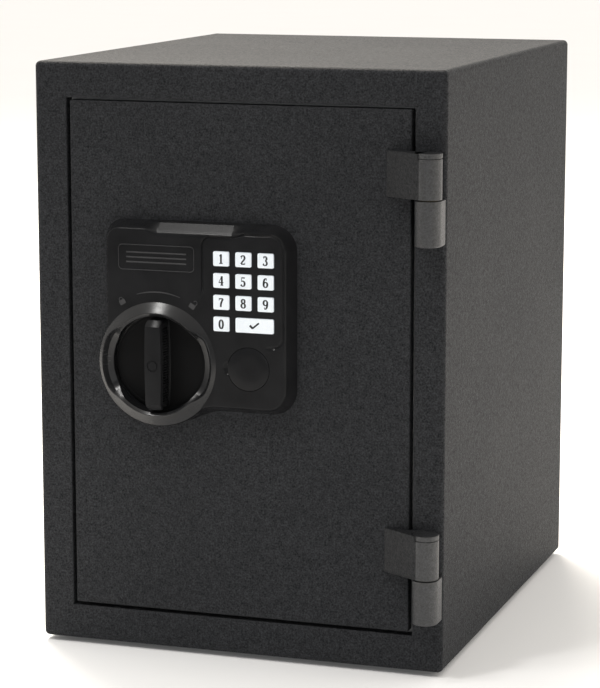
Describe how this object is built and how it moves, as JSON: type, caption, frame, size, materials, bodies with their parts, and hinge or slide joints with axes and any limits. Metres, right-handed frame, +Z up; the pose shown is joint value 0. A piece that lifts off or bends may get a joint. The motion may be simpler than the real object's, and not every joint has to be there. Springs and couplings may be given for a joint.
{
  "type": "electronic lock fire safe",
  "caption": "Upright box safe with thick insulated walls, a side-hinged door on two outside hinges, a push-button keypad and a turning bolt handle.",
  "frame": {"origin": "bottom centre of the whole safe, on the plane of the feet's undersides", "axes": "+Z up, -Y out of the door face, +X towards the hinge side"},
  "size_m": [0.36, 0.46, 0.504],
  "materials": {
    "case_paint": "satin wrinkle powder coat",
    "door_paint": "satin wrinkle powder coat",
    "insulation": "cast mineral filling",
    "liner_finish": "smooth grey enamel",
    "foot_rubber": "soft matt rubber",
    "bright_steel": "turned and polished",
    "zinc_plate": "zinc-plated pressed sheet",
    "bearing_brass": "turned brass",
    "housing_black": "satin-gloss moulded plastic",
    "inner_plastic": "fine-grained moulded plastic",
    "board_green": "printed circuit board",
    "cell_jacket": "printed metal jacket",
    "key_white": "pale printed key cap"
  },
  "bodies": {
    "cabinet": {"outer_case": "case_paint", "back_panel": "case_paint", "cabinet_insulation": "insulation", "inner_liner": "liner_finish", "door_jamb": "liner_finish", "feet": "foot_rubber", "anchor_sleeves": "bright_steel", "shelf": "liner_finish", "shelf_supports": "bright_steel", "upper_frame_barrel": "case_paint", "lower_frame_barrel": "case_paint", "hinge_pins": "bright_steel", "thrust_washers": "bearing_brass"},
    "door": {"door_skin": "door_paint", "door_insulation": "insulation", "door_tray": "zinc_plate", "door_gasket": "foot_rubber", "inner_cover": "inner_plastic", "cover_screws": "bright_steel", "upper_strap": "door_paint", "lower_strap": "door_paint", "hinge_caps": "door_paint", "bolt_plate": "zinc_plate", "bolt_bushes": "bearing_brass", "dead_bolts": "bright_steel", "spindle_bush": "bearing_brass", "solenoid_body": "zinc_plate", "lock_bezel": "housing_black", "keypad_board": "board_green", "keypad_mat": "foot_rubber", "lock_barrel": "bearing_brass", "battery_box": "inner_plastic", "batteries": "cell_jacket"},
    "dial": {"dial_knob": "housing_black", "spindle": "bright_steel", "crank": "bright_steel", "spindle_nut": "bright_steel"},
    "boltwork": {"bolt_carrier": "zinc_plate", "live_bolts": "bright_steel", "bolt_nuts": "bright_steel"},
    "plunger": {"solenoid_plunger": "bright_steel"},
    "key_plug": {"lock_plug": "bearing_brass", "lock_cam": "zinc_plate"},
    "cover": {"override_cover": "housing_black"},
    "lid": {"battery_lid": "inner_plastic"},
    "key_0_cap": {"key_0": "key_white"},
    "key_1_cap": {"key_1": "key_white"},
    "key_2_cap": {"key_2": "key_white"},
    "key_3_cap": {"key_3": "key_white"},
    "key_4_cap": {"key_4": "key_white"},
    "key_5_cap": {"key_5": "key_white"},
    "key_6_cap": {"key_6": "key_white"},
    "key_7_cap": {"key_7": "key_white"},
    "key_8_cap": {"key_8": "key_white"},
    "key_9_cap": {"key_9": "key_white"},
    "key_enter_cap": {"key_enter": "key_white"}
  },
  "joints": [
    {"name": "door_hinge", "type": "hinge", "parent": "cabinet", "child": "door", "pos_m": [0.1685, -0.2165, 0.244], "axis": [0, 0, 1], "range_deg": [0, 170]},
    {"name": "dial_turn", "type": "hinge", "parent": "door", "child": "dial", "pos_m": [-0.0655, -0.205, 0.254], "axis": [0, -1, 0], "range_deg": [0, 60]},
    {"name": "bolt_slide", "type": "slide", "parent": "door", "child": "boltwork", "axis": [-1, 0, 0], "range_m": [0, 0.018]},
    {"name": "plunger_slide", "type": "slide", "parent": "door", "child": "plunger", "axis": [0, 0, 1], "range_m": [0, 0.005]},
    {"name": "key_plug_turn", "type": "hinge", "parent": "door", "child": "key_plug", "pos_m": [0.0156, -0.205, 0.254], "axis": [0, 1, 0], "range_deg": [0, 90]},
    {"name": "cover_pull", "type": "slide", "parent": "door", "child": "cover", "axis": [0, -1, 0], "range_m": [0, 0.03]},
    {"name": "lid_pull", "type": "slide", "parent": "door", "child": "lid", "axis": [0, 1, 0], "range_m": [0, 0.015]},
    {"name": "key_0_press", "type": "slide", "parent": "door", "child": "key_0_cap", "axis": [0, 1, 0], "range_m": [0, 0.001], "stiffness_N_per_m": 400},
    {"name": "key_1_press", "type": "slide", "parent": "door", "child": "key_1_cap", "axis": [0, 1, 0], "range_m": [0, 0.001], "stiffness_N_per_m": 400},
    {"name": "key_2_press", "type": "slide", "parent": "door", "child": "key_2_cap", "axis": [0, 1, 0], "range_m": [0, 0.001], "stiffness_N_per_m": 400},
    {"name": "key_3_press", "type": "slide", "parent": "door", "child": "key_3_cap", "axis": [0, 1, 0], "range_m": [0, 0.001], "stiffness_N_per_m": 400},
    {"name": "key_4_press", "type": "slide", "parent": "door", "child": "key_4_cap", "axis": [0, 1, 0], "range_m": [0, 0.001], "stiffness_N_per_m": 400},
    {"name": "key_5_press", "type": "slide", "parent": "door", "child": "key_5_cap", "axis": [0, 1, 0], "range_m": [0, 0.001], "stiffness_N_per_m": 400},
    {"name": "key_6_press", "type": "slide", "parent": "door", "child": "key_6_cap", "axis": [0, 1, 0], "range_m": [0, 0.001], "stiffness_N_per_m": 400},
    {"name": "key_7_press", "type": "slide", "parent": "door", "child": "key_7_cap", "axis": [0, 1, 0], "range_m": [0, 0.001], "stiffness_N_per_m": 400},
    {"name": "key_8_press", "type": "slide", "parent": "door", "child": "key_8_cap", "axis": [0, 1, 0], "range_m": [0, 0.001], "stiffness_N_per_m": 400},
    {"name": "key_9_press", "type": "slide", "parent": "door", "child": "key_9_cap", "axis": [0, 1, 0], "range_m": [0, 0.001], "stiffness_N_per_m": 400},
    {"name": "key_enter_press", "type": "slide", "parent": "door", "child": "key_enter_cap", "axis": [0, 1, 0], "range_m": [0, 0.001], "stiffness_N_per_m": 400}
  ],
  "couplings": [
    {"joint": "bolt_slide", "follows": "dial_turn", "m_per_rad": 0.017189}
  ]
}
